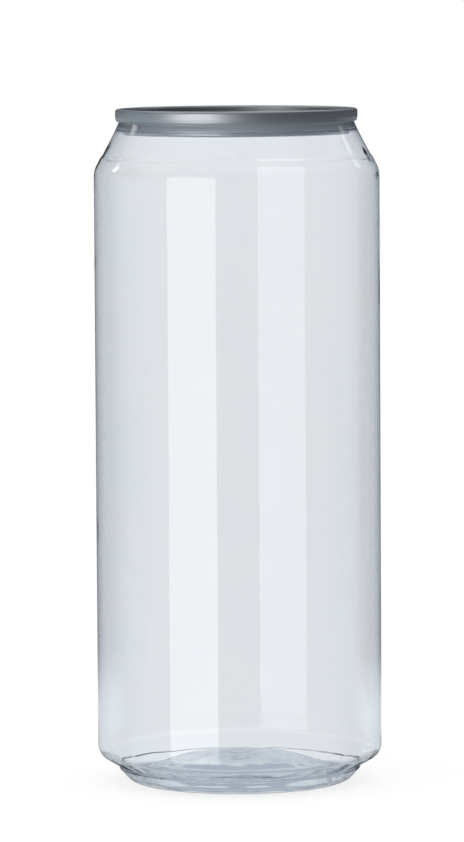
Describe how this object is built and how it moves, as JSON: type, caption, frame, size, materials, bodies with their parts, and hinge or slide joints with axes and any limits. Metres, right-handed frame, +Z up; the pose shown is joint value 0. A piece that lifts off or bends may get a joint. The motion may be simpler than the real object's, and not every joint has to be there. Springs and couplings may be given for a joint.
{
  "type": "plastic drink can",
  "caption": "Empty clear plastic drink can with straight side, tapered shoulder and stepped foot, closed by a seamed aluminium end with a stay-on pull tab.",
  "frame": {"origin": "on the surface the can stands on, at the can's axis", "axes": "+Z up along the can's axis, -Y the side the can pours from, +Y the side of the tab's ring"},
  "size_m": [0.066, 0.066, 0.1563],
  "materials": {
    "clear_plastic": "clear, glossy",
    "end_aluminium": "bright, rolled",
    "tab_aluminium": "bright, rolled"
  },
  "bodies": {
    "root": {"can_body": "clear_plastic", "can_end": "end_aluminium", "pull_tab": "tab_aluminium"}
  },
  "joints": []
}
